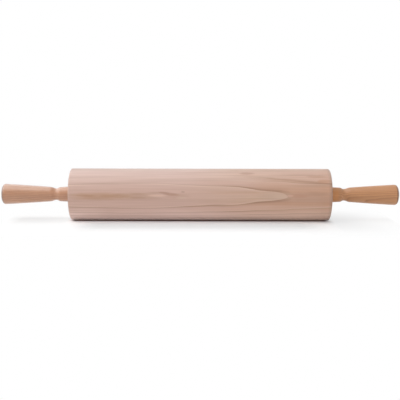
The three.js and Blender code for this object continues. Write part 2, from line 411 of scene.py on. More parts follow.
@dataclass(frozen=True)
class Maple:
    """Sanded maple, flat sawn, with its growth rings about a pith line behind the barrel.

    The growth along the front and the marks are in millimetres from the barrel's middle.
    """

    layout: Layout
    slot: str = "barrel_maple"

    # Broad colours, and a painted sheen
    cream: Colour = srgb(214, 181, 157)
    pink: Colour = srgb(213, 179, 165)
    tan: Colour = srgb(209, 169, 146)
    orange: Colour = srgb(210, 154, 116)
    # A painted sheen: a whitish veil on the barrel's top and bottom that stands in for reflection of
    # the white surround.
    pale: Colour = srgb(236, 210, 202)
    cloud: Pattern = Pattern((6.0, 30.0, 30.0), 2.0, 3.0)
    cloud_reach: float = 160.0 * MM
    warm_right: Fade = Fade(-40.0 * MM, 110.0 * MM)
    tan_outside: Fade = Fade(0.3 * MM, -0.5 * MM)
    tan_upper: Fade = Fade(-30.0 * MM, -8.0 * MM, 1.0, 0.3)
    bands: Pattern = Pattern((3.5, 150.0, 150.0), 3.0, 21.0)
    orange_band: Fade = Fade(0.42, 0.7, 0.28)
    orange_end: Fade = Fade(-30.0 * MM, 0.0, 0.2)
    # Where the painted sheen shows: on the top and bottom, more below, and less on the warm right
    # above.
    painted_sheen_flank: Fade = Fade(39.0 * MM, 24.0 * MM)
    painted_sheen_share: float = 0.42
    painted_sheen_loss_above: Fade = Fade(0.0, 20.0 * MM, 0.2)
    painted_sheen_below: Fade = Fade(-8.0 * MM, -24.0 * MM)
    painted_sheen_gain_below: float = 0.2
    painted_sheen_loss_below: float = 0.3

    # Growth rings
    line: Colour = srgb(164, 122, 98)
    early: Colour = srgb(232, 206, 186)
    pith_depth: float = 60.0 * MM
    pith_drop: float = math.radians(3.8)
    ring: float = 3.3 * MM
    wander: Pattern = Pattern((14.0, 50.0, 50.0))
    wander_reach: float = 0.55 * MM
    late_rise: Fade = Fade(0.5, 1.0, 0.25)
    late_line: Fade = Fade(0.83, 0.97, 0.55)
    early_line: Fade = Fade(0.16, 0.02, 0.4)
    front_clear: Fade = Fade(8.0 * MM, 32.0 * MM, 1.0, 0.2)
    quiet_top: Fade = Fade(19.0 * MM, 22.0 * MM, 0.8)
    quiet_front: Fade = Fade(10.0 * MM, -5.0 * MM)
    soft_upper: Fade = Fade(-2.0 * MM, 6.0 * MM)
    soft_left: Fade = Fade(60.0 * MM, 15.0 * MM, 0.55)
    front_growth: tuple[tuple[float, float], ...] = (
        (-190.0, 2.05),
        (-149.0, 2.45),
        (-113.0, 2.77),
        (-63.0, 2.57),
        (-34.0, 2.21),
        (-12.0, 1.92),
        (12.0, 1.57),
        (33.0, 1.54),
        (55.0, 1.3),
        (71.0, 0.87),
        (83.0, 0.57),
        (95.0, 0.42),
        (107.0, 0.33),
        (118.0, 0.2),
        (123.0, 0.1),
        (127.0, 0.0),
        (133.0, -0.4),
        (190.0, -0.95),
    )
    flame_tip: Mark = Mark(125.0, 2.7, 15.0, 7.0, 0.6, srgb(213, 173, 150), 0.0, 1.0)

    # Streaks and flecks
    marks: tuple[Mark, ...] = (
        Mark(60.0, 30.5, 62.0, 6.5, 0.17, srgb(246, 222, 204), 0.0, 1.0),
        Mark(-163.0, -24.0, 26.0, 9.0, 0.2, srgb(242, 216, 206), 0.0, 1.0),
        Mark(168.0, 29.3, 14.0, 1.6, 0.35, srgb(178, 130, 102), 0.0, 1.2),
        Mark(168.0, 5.8, 16.0, 3.4, 0.18, srgb(166, 118, 86), 0.0, 1.2),
        Mark(-125.0, 19.1, 60.0, 0.8, 0.32, srgb(166, 126, 108), 0.015, 1.0),
        Mark(25.0, -10.4, 18.0, 0.7, 0.4, srgb(158, 116, 96), 0.0, 1.0),
        Mark(-34.0, 2.2, 18.0, 3.4, 0.22, srgb(176, 134, 104), 0.0, 1.2),
        Mark(-146.0, 1.7, 42.0, 5.2, 0.55, srgb(188, 144, 108), 0.0, 1.2),
        Mark(-163.0, 2.3, 14.0, 1.6, 0.3, srgb(170, 124, 88)),
        Mark(-126.0, 2.0, 18.0, 2.4, 0.3, srgb(172, 128, 92)),
        Mark(-93.0, 2.8, 30.0, 4.4, 0.42, srgb(180, 142, 112), 0.0, 1.2),
        Mark(-89.0, 5.0, 10.0, 1.5, 0.2, srgb(166, 126, 100)),
        Mark(-88.0, -0.2, 11.0, 1.4, 0.3, srgb(164, 122, 98)),
        Mark(-66.0, -0.6, 14.0, 0.9, 0.28, srgb(166, 126, 104), 0.0, 1.2),
        Mark(-60.0, 7.2, 16.0, 1.2, 0.3, srgb(166, 122, 100), 0.0, 1.2),
        Mark(-52.0, 6.8, 7.0, 1.5, 0.32, srgb(162, 114, 94), -0.1, 1.0),
        Mark(-41.0, 4.4, 11.0, 1.9, 0.42, srgb(170, 124, 104), -0.06, 1.0),
        Mark(-24.6, 8.0, 3.0, 1.0, 0.4, srgb(156, 116, 98)),
        Mark(-26.0, -0.4, 8.0, 1.6, 0.4, srgb(218, 194, 176)),
        Mark(-62.0, 3.0, 13.0, 1.6, 0.62, srgb(228, 196, 177), 0.0, 0.6),
        Mark(68.0, 33.0, 10.0, 1.5, 0.45, srgb(168, 118, 96)),
        Mark(131.0, 23.6, 66.0, 2.8, 0.22, srgb(166, 124, 92), -0.082),
        Mark(135.0, 24.0, 62.0, 1.0, 0.3, srgb(154, 112, 82), -0.082),
        Mark(141.0, 31.2, 40.0, 0.5, 0.35, srgb(160, 112, 88)),
        Mark(179.0, 23.0, 8.0, 3.0, 0.35, srgb(190, 130, 90)),
        Mark(140.0, 2.6, 14.0, 2.6, 0.3, srgb(184, 130, 106)),
        Mark(129.0, 2.9, 4.5, 1.6, 0.65, srgb(222, 180, 158), 0.0, 1.0),
        Mark(108.0, 2.6, 22.0, 6.5, 0.25, srgb(186, 158, 142), 0.0, 1.0),
    )
    ragged: Pattern = Pattern((45.0, 260.0, 260.0), 2.0, 12.0)
    streaks: Pattern = Pattern((5.0, 130.0, 130.0), 2.0, 8.0)
    streak_show: Fade = Fade(0.35, 0.65, 1.0, 0.6)
    streak_shade: Fade = Fade(0.4, 0.75, 0.18)
    fibres: Pattern = Pattern((9.0, 620.0, 620.0), 3.0, 5.0)
    fibre_shade: Fade = Fade(0.35, 0.7, 0.13)

    # Ends, with painted shade, and surface
    # Painted shade on the right end's rounding, which faces away from the lamps on the left.
    rim: Colour = srgb(140, 116, 102)
    right_end_painted_shade: Fade = Fade(-7.0 * MM, -1.0 * MM, 0.3)
    # End grain on the end faces, darker also as painted shade where it reaches the rim of the
    # rounding.
    end_grain_and_shade: Colour = srgb(172, 140, 122)
    end_face: Fade = Fade(-1.0 * MM, -0.2 * MM, 0.6)
    roughness: float = 0.46
    fibre_roughness: float = 0.12
    sheen: float = 0.4
    fibre_height: float = 0.7
    streak_height: float = 0.3
    relief: float = 0.25
    relief_depth: float = 0.15 * MM

    def front_line(self, shader: Shader, along: Value) -> Value:
        """Growth along the middle of the barrel's front, as a line through a few heights.

        Args:
            shader: The material's shader.
            along: Distance along the barrel from its middle.

        Returns:
            Growth in metres.
        """
        first = self.front_growth[0][0]
        length = self.front_growth[-1][0] - first
        low = min(height for _, height in self.front_growth)
        span = max(height for _, height in self.front_growth) - low
        stops = []
        for place, height in self.front_growth:
            share = (height - low) / span
            stops.append(((place - first) / length, (share, share, share, 1.0)))
        share_along = (along - first * MM) / (length * MM)
        ramp = shader.node("ShaderNodeValToRGB", {"stops": stops}, [share_along])
        return ramp * (span * MM) + low * MM

    def growth(self, shader: Shader, place: Value) -> Value:
        """How far a point has grown out from the ring whose tip shows on the barrel's front.

        Args:
            shader: The material's shader.
            place: Object coordinates about the barrel's axis.

        Returns:
            Growth in metres.
        """
        along = shader.axes(place)
        depth = along.other("Y") - self.pith_depth * math.cos(self.pith_drop)
        drop = along.other("Z") + self.pith_depth * math.sin(self.pith_drop)
        radial = (depth * depth + drop * drop).maths("SQRT")
        wander = shader.ripple(place, self.wander) * self.wander_reach
        reach = self.pith_depth + self.layout.barrel_radius
        return radial - reach + self.front_line(shader, along) + wander

    def ground(self, shader: Shader, place: Value, growth: Value) -> Value:
        """The wood's broad colours: pink to the left, cream in the flame and tan round its right half.
        A painted whitish sheen lies over the top and bottom.

        Args:
            shader: The material's shader.
            place: Object coordinates about the barrel's axis.
            growth: Growth in metres.

        Returns:
            The colour.
        """
        along = shader.axes(place)
        height = along.other("Z")
        warm = self.warm_right.of(along + shader.ripple(place, self.cloud) * self.cloud_reach)
        outside = self.tan_outside.of(growth) * self.tan_upper.of(height)
        broad = shader.mix(warm, self.pink, shader.mix(outside, self.cream, self.tan))
        band = self.orange_band.of(shader.noise(place, self.bands))
        end = self.orange_end.of(abs(along) - self.layout.barrel_half)
        banded = shader.mix(warm * (band + end), broad, self.orange)
        # Painted sheen on the top and bottom, stronger below.
        below = self.painted_sheen_below.of(height) * (self.painted_sheen_gain_below - warm * self.painted_sheen_loss_below)
        share = self.painted_sheen_share - warm * self.painted_sheen_loss_above.of(height) + below
        return shader.mix(self.painted_sheen_flank.of(abs(along.other("Y"))) * share, banded, self.pale)

    def material(self) -> bpy.types.Material:
        """Make the material.

        Returns:
            The maple.
        """
        material, shader = new_material("sanded_maple")
        place = shader.place((0.0, 0.0, -self.layout.axis_height))
        along = shader.axes(place)
        height = along.other("Z")
        ragged = shader.ripple(place, self.ragged)
        streak = shader.noise(place, self.streaks)
        fibre = shader.noise(place, self.fibres)
        growth = self.growth(shader, place)
        phase = (growth / self.ring).maths("FRACT")
        clear = self.front_clear.of(abs(along.other("Y")))
        quiet = self.quiet_top.of(height) * self.quiet_front.of(along.other("Y"))
        soft = self.soft_upper.of(height) * self.soft_left.of(along)
        hush = (1.0 - quiet) * (1.0 - soft) * (1.0 - self.flame_tip.share(along, ragged))
        late = self.late_rise.of(phase) + self.late_line.of(phase)
        shown = late * clear * (self.streak_show.of(streak) * hush)
        colour = shader.mix(shown, self.ground(shader, place, growth), self.line)
        colour = shader.mix(self.early_line.of(phase) * clear, colour, self.early)
        for mark in self.marks:
            colour = shader.mix(mark.share(along, ragged), colour, mark.colour)
        half = self.layout.barrel_half
        for share, top in (
            (self.fibre_shade.of(fibre) + self.streak_shade.of(streak), self.line),
            # Painted shade on the right end's rounding.
            (self.right_end_painted_shade.of(along - half), self.rim),
            # End grain, with painted shade at the rim.
            (self.end_face.of(abs(along) - half), self.end_grain_and_shade),
        ):
            colour = shader.mix(share, colour, top)
        uneven = fibre * self.fibre_height + streak * self.streak_height
        shader.principled({
            "Base Color": colour,
            "Roughness": self.roughness + fibre * self.fibre_roughness,
            "Sheen Weight": self.sheen,
            "Normal": shader.bump(uneven, self.relief, self.relief_depth),
        })
        return material


@dataclass(frozen=True)
class LacqueredWood:
    """Turned hardwood under clear lacquer.

    The rings lie at ring_turn to the level. Gloss is the wood's own, lacquer and haze lie over it, and
    warmth is how much of the collar's tone shows: a brighter orange, partly the wood's own colour and
    partly painted light where the barrel shades the collar.
    """

    layout: Layout
    name: str
    seed: float
    light: Colour
    tan: Colour
    dark: Colour
    ring_turn: float
    gloss: float
    lacquer: float
    haze: float
    warmth: float
    slot: str = "handle_wood"

    # Growth rings
    ring: float = 2.4 * MM
    slope: float = 0.02
    wander: Pattern = Pattern((14.0, 60.0, 60.0))
    wander_reach: float = 3.0 * MM
    light_until: float = 0.4
    tan_at: float = 0.85
    dark_from: float = 0.96

    # Fibres, patches and ends
    fibres: Pattern = Pattern((25.0, 900.0, 900.0), 3.0, 2.0)
    fibre_shade: Fade = Fade(0.4, 0.8, 0.3)
    patches: Pattern = Pattern((16.0, 50.0, 50.0), 2.0, 4.0)
    patch_shade: Fade = Fade(0.4, 0.75, 0.3)
    # A brighter orange on the collar, partly the wood's own colour and partly painted light where the
    # barrel shades it.
    collar: Colour = srgb(218, 148, 84)
    collar_reach: Fade = Fade(17.0 * MM, 11.0 * MM)
    # End grain on the handle's rounded end, darker also as painted shade where the rounding turns away
    # from the light.
    end_grain_and_shade: Colour = srgb(104, 70, 50)
    end_face: Fade = Fade(-4.6 * MM, -1.2 * MM, 0.7)

    # Surface
    roughness: float = 0.36
    fibre_roughness: float = 0.1
    lacquer_roughness: float = 0.32
    haze_roughness: float = 0.4
    relief: float = 0.12
    relief_depth: float = 0.1 * MM

    def season(self, shader: Shader, place: Value, along: Value) -> Value:
        """The rings' colours, from light early wood to the dark line that ends each year.

        Args:
            shader: The material's shader.
            place: Object coordinates about the handle's axis.
            along: The same, split into its axes.

        Returns:
            The colour.
        """
        sideways = along.other("Y") * math.cos(self.ring_turn)
        upwards = along.other("Z") * math.sin(self.ring_turn)
        wander = shader.ripple(place, self.wander, self.seed) * self.wander_reach
        growth = sideways + upwards + along * self.slope + wander
        phase = (growth / self.ring).maths("FRACT")
        stops = [(self.light_until, self.light), (self.tan_at, self.tan), (self.dark_from, self.dark)]
        return shader.node("ShaderNodeValToRGB", {"stops": stops}, [phase])

    def material(self) -> bpy.types.Material:
        """Make the material.

        Returns:
            The lacquered wood.
        """
        material, shader = new_material(self.name)
        place = shader.place((0.0, 0.0, -self.layout.axis_height))
        along = shader.axes(place)
        fibre = shader.noise(place, self.fibres, self.seed)
        patch = shader.noise(place, self.patches, self.seed)
        colour = self.season(shader, place, along)
        past_barrel = abs(along) - self.layout.barrel_half
        past_tip = abs(along) - self.layout.pin_half
        for share, top in (
            (self.fibre_shade.of(fibre) + self.patch_shade.of(patch), self.dark),
            # The collar's tone: partly the wood's own colour, partly painted light.
            (self.collar_reach.of(past_barrel) * self.warmth, self.collar),
            # End grain, with painted shade on the rounded end.
            (self.end_face.of(past_tip), self.end_grain_and_shade),
        ):
            colour = shader.mix(share, colour, top)
        shader.principled({
            "Base Color": colour,
            "Roughness": self.roughness + fibre * self.fibre_roughness,
            "Specular IOR Level": self.gloss,
            "Coat Weight": self.lacquer,
            "Coat Roughness": self.lacquer_roughness,
            "Sheen Weight": self.haze,
            "Sheen Roughness": self.haze_roughness,
            "Normal": shader.bump(fibre, self.relief, self.relief_depth),
        })
        return material


@dataclass(frozen=True)
class Metal:
    """A turned, ground or pressed metal, with fine marks round the pin's axis and a few smudges."""

    name: str
    slot: str
    colour: Colour
    shadow: Colour
    roughness: float
    mark_depth: float
    marks: Pattern = Pattern((4000.0, 60.0, 60.0))
    mark_shade: float = 0.15
    mark_roughness: float = 0.06
    mark_relief: float = 0.3
    smudges: Pattern = Pattern((130.0, 130.0, 130.0), 3.0, 2.0)
    smudge_shade: Fade = Fade(0.4, 0.8, 0.5)
    smudge_roughness: float = 0.12

    def material(self) -> bpy.types.Material:
        """Make the material.

        Returns:
            The metal.
        """
        material, shader = new_material(self.name)
        place = shader.place()
        marks = shader.noise(place, self.marks)
        smudge = shader.noise(place, self.smudges)
        shade = self.smudge_shade.of(smudge) + marks * self.mark_shade
        shader.principled({
            "Base Color": shader.mix(shade, self.colour, self.shadow),
            "Metallic": 1.0,
            "Roughness": self.roughness + smudge * self.smudge_roughness + marks * self.mark_roughness,
            "Normal": shader.bump(marks, self.mark_relief, self.mark_depth),
        })
        return material


class MetalKind(Enum):
    """The metals inside the pin."""

    AXLE = Metal(
        "drawn_axle_steel", "axle_steel",
        srgb(190, 192, 195), srgb(140, 141, 143), 0.24, 0.02 * MM,
    )
    BEARING = Metal(
        "ground_bearing_steel", "bearing_steel",
        srgb(208, 210, 213), srgb(160, 162, 166), 0.08, 0.004 * MM,
    )
    PLATED = Metal(
        "zinc_plated_steel", "plated_steel",
        srgb(200, 202, 206), srgb(150, 154, 160), 0.26, 0.01 * MM,
    )
    BRASS = Metal(
        "turned_brass", "insert_brass",
        srgb(205, 170, 98), srgb(150, 116, 58), 0.22, 0.02 * MM,
    )


@dataclass(frozen=True)
class Nylon:
    """Moulded natural nylon."""

    slot: str = "cage_nylon"
    pale: Colour = srgb(222, 216, 200)
    warm: Colour = srgb(204, 194, 170)
    clouds: Pattern = Pattern((220.0, 220.0, 220.0), 3.0)
    cloud_warmth: Fade = Fade(0.3, 0.8)
    grain: Pattern = Pattern((5000.0, 5000.0, 5000.0))
    roughness: float = 0.45
    grain_roughness: float = 0.15
    relief: float = 0.2
    relief_depth: float = 0.01 * MM

    def material(self) -> bpy.types.Material:
        """Make the material.

        Returns:
            The nylon.
        """
        material, shader = new_material("moulded_nylon")
        place = shader.place()
        warmth = self.cloud_warmth.of(shader.noise(place, self.clouds))
        grain = shader.noise(place, self.grain)
        shader.principled({
            "Base Color": shader.mix(warmth, self.pale, self.warm),
            "Roughness": self.roughness + grain * self.grain_roughness,
            "Normal": shader.bump(grain, self.relief, self.relief_depth),
        })
        return material


# Turning and placing


class Outline:
    """An outline for turning, through points that give distance along the pin and from its axis."""

    CIRCLE_PULL = 0.5523

    def __init__(self, *points: Point) -> None:
        """Start with straight lines through some points."""
        self.points: list[Vector] = []
        self.lines(*points)

    def lines(self, *points: Point) -> Outline:
        """Draw straight to each point in turn."""
        self.points.extend(Vector(point) for point in points)
        return self

    def curve(self, leave: Point, arrive: Point, end: Point, steps: int) -> Outline:
        """Draw a smooth curve.

        Args:
            leave: The point that the curve starts towards.
            arrive: The point that the curve comes from at its end.
            end: Where the curve ends.
            steps: How many straight steps stand for the curve.

        Returns:
            This outline.
        """
        pulls = [Vector(point) for point in (leave, arrive, end)]
        self.points.extend(interpolate_bezier(self.points[-1], *pulls, steps + 1)[1:])
        return self

    def corner(self, corner: Point, end: Point, steps: int) -> Outline:
        """Draw a quarter round inside a corner.

        Args:
            corner: The corner that is rounded off.
            end: Where the round ends.
            steps: How many straight steps stand for the round.

        Returns:
            This outline.
        """
        leave = self.points[-1].lerp(Vector(corner), self.CIRCLE_PULL)
        arrive = Vector(end).lerp(Vector(corner), self.CIRCLE_PULL)
        return self.curve(leave, arrive, end, steps)

    def arc(self, centre: Point, radius: float, middle: float, half: float, steps: int) -> Outline:
        """Draw part of a circle.

        Args:
            centre: The circle's middle.
            radius: Its radius.
            middle: The angle of the arc's middle, from the pin's direction towards the outside.
            half: How far the arc turns to each side of its middle.
            steps: How many straight steps stand for the arc.

        Returns:
            This outline.
        """
        for index in range(steps + 1):
            angle = middle - half + 2.0 * half * index / steps
            self.lines(Vector(centre) + radius * Vector((math.cos(angle), math.sin(angle))))
        return self


def at(along: float, radius: float) -> Vector:
    """A point of an outline, where turning starts."""
    return Vector((along, 0.0, radius))


def tidy(mesh: bmesh.types.BMesh) -> None:
    """Close seams and poles, then turn every face outwards.

    Args:
        mesh: The mesh.
    """
    bmesh.ops.remove_doubles(mesh, verts=mesh.verts, dist=WELD_DISTANCE)
    bmesh.ops.dissolve_degenerate(mesh, edges=mesh.edges, dist=WELD_DISTANCE)
    bmesh.ops.recalc_face_normals(mesh, faces=mesh.faces)


def turn(outline: Outline, facets: int, ring: bool = False) -> bmesh.types.BMesh:
    """Turn an outline about the pin's axis.

    Args:
        outline: The outline.
        facets: How many steps go round the axis.
        ring: Whether the outline's last point joins its first.

    Returns:
        The turned mesh.
    """
    mesh = bmesh.new()
    corners = [mesh.verts.new(at(*point)) for point in outline.points]
    edges = [mesh.edges.new(pair) for pair in zip(corners, corners[1:])]
    if ring:
        edges.append(mesh.edges.new((corners[-1], corners[0])))
    bmesh.ops.spin(
        mesh,
        geom=corners + edges,
        cent=ORIGIN,
        axis=PIN_AXIS,
        angle=FULL_TURN,
        steps=facets,
        use_merge=True,
        use_duplicate=False,
    )
    tidy(mesh)
    return mesh


def sharp_edges(mesh: bmesh.types.BMesh) -> list[bmesh.types.BMEdge]:
    """Edges whose faces meet at a clear angle."""
    return [edge for edge in mesh.edges if edge.is_manifold and edge.calc_face_angle() > SHARP_ANGLE]


def ease(mesh: bmesh.types.BMesh, width: float, segments: int = 2) -> None:
    """Round off a mesh's sharp edges.

    Args:
        mesh: The mesh.
        width: How far the rounding reaches from each edge.
        segments: How many strips make the rounding.
    """
    bmesh.ops.bevel(
        mesh,
        geom=sharp_edges(mesh),
        offset=width,
        offset_type="OFFSET",
        segments=segments,
        profile=0.5,
        affect="EDGES",
        clamp_overlap=True,
        material=-1,
    )
    tidy(mesh)


def add_object(name: str, data: Any) -> bpy.types.Object:
    """Add an object to the scene.

    Args:
        name: The object's name.
        data: Its mesh, lamp or camera.

    Returns:
        The object, at the origin.
    """
    added = bpy.data.objects.new(name, data)
    bpy.context.scene.collection.objects.link(added)
    return added


def add_mesh(name: str, mesh: bmesh.types.BMesh, material: bpy.types.Material) -> bpy.types.Object:
    """Add a finished mesh to the scene.

    Args:
        name: The object's name.
        mesh: The mesh, which is used up.
        material: What covers it.

    Returns:
        The object, at the origin.
    """
    data = bpy.data.meshes.new(name)
    mesh.to_mesh(data)
    mesh.free()
    data.materials.append(material)
    return add_object(name, data)


Finish = Union[Maple, LacqueredWood, Metal, Nylon]


class Bench:
    """Turns finished meshes into pieces, and keeps one material for each finish."""

    def __init__(self, layout: Layout) -> None:
        """Start with no materials made, and look up the body that each CAD node rides on.

        Args:
            layout: The pin's main places.
        """
        self.layout = layout
        self.materials: dict[Finish, bpy.types.Material] = {}
        bodies = frame["record"]["behaviour"]["bodies"]
        self.body_of = {node: body for body, nodes in bodies.items() for node in nodes}

    def dress(self, finish: Finish) -> bpy.types.Material:
        """The material of a finish, made once.

        Args:
            finish: The finish.

        Returns:
            Its material.
        """
        if finish not in self.materials:
            self.materials[finish] = finish.material()
        return self.materials[finish]

    def settle(self, mesh: bmesh.types.BMesh, name: str, finish: Finish, node: str) -> None:
        """Make a piece from a mesh that is in its place.

        Args:
            mesh: The finished mesh, which is used up.
            name: The piece's name.
            finish: What it is made of.
            node: The CAD node that it stands for.
        """
        for face in mesh.faces:
            face.smooth = True
        for edge in sharp_edges(mesh):
            edge.smooth = False
        piece = add_mesh(name, mesh, self.dress(finish))
        body = self.body_of[node]
        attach(piece, body)
        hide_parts(node)
        LOG.info("%s rides on %s with %d faces", name, body, len(piece.data.polygons))

    def settle_end(
        self, mesh: bmesh.types.BMesh, end: End, piece: str, finish: Finish, form: str
    ) -> None:
        """Carry a mesh that is drawn from the barrel's end face to one end of the pin, and settle it.

        Args:
            mesh: The mesh, about the pin's axis.
            end: Which end it belongs to.
            piece: The CAD piece's name without its side.
            finish: What it is made of.
            form: A word for the shape, which ends the piece's name.
        """
        bmesh.ops.transform(mesh, matrix=end.matrix(self.layout), verts=mesh.verts)
        node = end.node(piece)
        self.settle(mesh, f"{node}_{form}", finish, node)

    def settle_halves(self, half: bmesh.types.BMesh, node: str, finish: Finish, form: str) -> None:
        """Mirror the right half of a piece that runs through the pin, lift it and settle it.

        Args:
            half: The right half, about the pin's axis.
            node: The CAD node that it stands for.
            finish: What it is made of.
            form: A word for the shape, which ends the piece's name.
        """
        everything = list(half.verts) + list(half.edges) + list(half.faces)
        bmesh.ops.mirror(
            half, geom=everything, matrix=Matrix.Identity(4), merge_dist=WELD_DISTANCE, axis="X"
        )
        lift = Matrix.Translation((0.0, 0.0, self.layout.axis_height))
        bmesh.ops.transform(half, matrix=lift, verts=half.verts)
        tidy(half)
        self.settle(half, f"{node}_{form}", finish, node)


# Barrel


@dataclass
class Barrel:
    """The maple barrel: eased ends, a bore right through and a stepped bearing seat in each end."""

    bench: Bench
    finish: Maple
    edge: float = 2.2 * MM
    bore: float = 6.5 * MM
    seat: float = 13.05 * MM
    land: float = 10.65 * MM
    seat_depth: float = 9.55 * MM
    relief_depth: float = 1.0 * MM
    mouth: float = 0.8 * MM
    facets: int = 192
    edge_steps: int = 10

    def outline(self) -> Outline:
        """One half of the barrel.

        Returns:
            The outline, from the middle of the bore round to the middle of the outside.
        """
        half = self.bench.layout.barrel_half
        radius = self.bench.layout.barrel_radius
        floor = half - self.seat_depth
        outline = Outline(
            (0.0, self.bore),
            (floor - self.relief_depth, self.bore),
            (floor - self.relief_depth, self.land),
            (floor, self.land),
            (floor, self.seat),
            (half - self.mouth, self.seat),
            (half, self.seat + self.mouth),
            (half, radius - self.edge),
        )
        outline.corner((half, radius), (half - self.edge, radius), self.edge_steps)
        return outline.lines((0.0, radius))

    def build(self) -> None:
        """Turn one half and settle the barrel from it."""
        self.bench.settle_halves(turn(self.outline(), self.facets), "barrel", self.finish, "turned")


# Handles and what holds them


@dataclass
class Handle:
    """One turned handle: collar, cove and a grip with a rounded end, bored from the collar."""

    bench: Bench
    end: End
    finish: LacqueredWood
    start: float = 1.5 * MM
    reach: float = 101.6 * MM
    collar_base: float = 11.3 * MM
    collar_tip: float = 10.65 * MM
    collar_ease: float = 0.8 * MM
    collar_reach: float = 15.0 * MM
    neck: float = 8.6 * MM
    neck_reach: float = 22.2 * MM
    cove_leave: float = 0.55
    cove_arrive: float = 0.45
    shoulder: float = 10.95 * MM
    shoulder_reach: float = 33.0 * MM
    rise_leave: float = 0.35
    rise_arrive: float = 0.5
    grip: float = 15.1 * MM
    grip_round: float = 4.6 * MM
    grip_swell: float = 0.35 * MM
    insert_seat: float = 7.05 * MM
    insert_depth: float = 16.1 * MM
    pilot_bore: float = 4.2 * MM
    pilot_reach: float = 60.0 * MM
    drill_point: float = 2.4 * MM
    facets: int = 128
    steps: int = 20
    collar_steps: int = 6
    round_steps: int = 10

    def bore(self) -> Outline:
        """The blind bore.

        Returns:
            The outline, from the bore's drilled tip to the collar's face.
        """
        floor = self.start + self.insert_depth
        return Outline(
            (self.pilot_reach + self.drill_point, 0.0),
            (self.pilot_reach, self.pilot_bore),
            (floor, self.pilot_bore),
            (floor, self.insert_seat),
            (self.start, self.insert_seat),
        )

    def grip_curve(self, outline: Outline) -> None:
        """Draw the grip, which swells a little over a straight taper.

        Args:
            outline: The outline, which has come to the shoulder.
        """
        round_reach = self.reach - self.grip_round
        third = (round_reach - self.shoulder_reach) / 3.0
        lift = (self.grip - self.shoulder) / 3.0
        swell = self.grip_swell * 2.0 / 3.0
        outline.curve(
            (self.shoulder_reach + third, self.shoulder + lift + swell),
            (round_reach - third, self.grip - lift + swell),
            (round_reach, self.grip),
            self.steps,
        )

    def outline(self) -> Outline:
        """The whole handle.

        Returns:
            The outline, from the bore's tip round the outside to the middle of the closed end.
        """
        outline = self.bore().lines((self.start, self.collar_base - self.collar_ease))
        eased = (self.start + self.collar_ease, self.collar_base)
        outline.corner((self.start, self.collar_base), eased, self.collar_steps)
        outline.lines((self.collar_reach, self.collar_tip))
        fall = self.neck_reach - self.collar_reach
        outline.curve(
            (self.collar_reach + self.cove_leave * fall, self.collar_tip),
            (self.neck_reach - self.cove_arrive * fall, self.neck),
            (self.neck_reach, self.neck),
            self.steps,
        )
        rise = self.shoulder_reach - self.neck_reach
        outline.curve(
            (self.neck_reach + self.rise_leave * rise, self.neck),
            (self.shoulder_reach - self.rise_arrive * rise, self.shoulder),
            (self.shoulder_reach, self.shoulder),
            self.steps,
        )
        self.grip_curve(outline)
        flat = (self.reach, self.grip - self.grip_round)
        outline.corner((self.reach, self.grip), flat, self.round_steps)
        return outline.lines((self.reach, 0.0))

    def build(self) -> None:
        """Turn the handle and settle it."""
        mesh = turn(self.outline(), self.facets)
        self.bench.settle_end(mesh, self.end, "handle", self.finish, "turned")


@dataclass
class Fixings:
    """What holds one handle: a brass insert pressed in its collar, and a spacer washer behind it."""

    bench: Bench
    end: End
    collar_start: float = 1.5 * MM
    bearing_recess: float = 1.5 * MM
    seat_gap: float = 0.05 * MM
    spacer_bore: float = 5.03 * MM
    spacer_outside: float = 7.2 * MM
    spacer_ease: float = 0.4 * MM
    spacer_ease_strips: int = 3
    spacer_facets: int = 96
    insert_length: float = 16.0 * MM
    insert_outside: float = 7.0 * MM
    insert_bore: float = 5.15 * MM
    insert_ease: float = 0.4 * MM
    insert_facets: int = 48
    groove_depth: float = 0.5 * MM
    groove_half: float = 1.2 * MM
    knurl_depth: float = 0.25 * MM
    knurl_gap: float = 0.18 * MM
    band_reach: float = 0.98
    band_slope: float = 0.1

    def spacer(self) -> bmesh.types.BMesh:
        """The spacer washer.

        Returns:
            The washer's mesh.
        """
        near = self.seat_gap - self.bearing_recess
        far = self.collar_start - self.seat_gap
        outline = Outline(
            (near, self.spacer_bore),
            (near, self.spacer_outside),
            (far, self.spacer_outside),
            (far, self.spacer_bore),
        )
        mesh = turn(outline, self.spacer_facets, ring=True)
        ease(mesh, self.spacer_ease, self.spacer_ease_strips)
        return mesh

    def insert(self) -> bmesh.types.BMesh:
        """The threaded insert, with a holding groove between two knurled bands.

        Returns:
            The insert's mesh.
        """
        near = self.collar_start + self.seat_gap
        far = near + self.insert_length
        middle = (near + far) / 2.0
        root = self.insert_outside - self.knurl_depth
        groove = self.insert_outside - self.groove_depth
        outline = Outline(
            (near, self.insert_bore),
            (near, root - self.insert_ease),
            (near + self.insert_ease, root),
            (middle - self.groove_half, root),
            (middle - self.groove_half, groove),
            (middle + self.groove_half, groove),
            (middle + self.groove_half, root),
            (far - self.insert_ease, root),
            (far, root - self.insert_ease),
            (far, self.insert_bore),
        )
        mesh = turn(outline, self.insert_facets, ring=True)
        self.knurl(mesh, root)
        return mesh

    def knurl(self, mesh: bmesh.types.BMesh, root: float) -> None:
        """Raise a tooth on every face of the two outer bands.

        Args:
            mesh: The plain insert.
            root: The bands' radius before knurling.
        """
        bands = [
            face for face in mesh.faces
            if abs(face.normal.x) < self.band_slope
            and min(vert.co.yz.length for vert in face.verts) > self.band_reach * root
        ]
        bmesh.ops.inset_individual(
            mesh, faces=bands, thickness=self.knurl_gap, depth=self.knurl_depth, use_even_offset=True
        )

    def build(self) -> None:
        """Settle the washer and the insert."""
        plated, brass = MetalKind.PLATED.value, MetalKind.BRASS.value
        self.bench.settle_end(self.spacer(), self.end, "spacer_washer", plated, "turned")
        self.bench.settle_end(self.insert(), self.end, "threaded_insert", brass, "knurled")


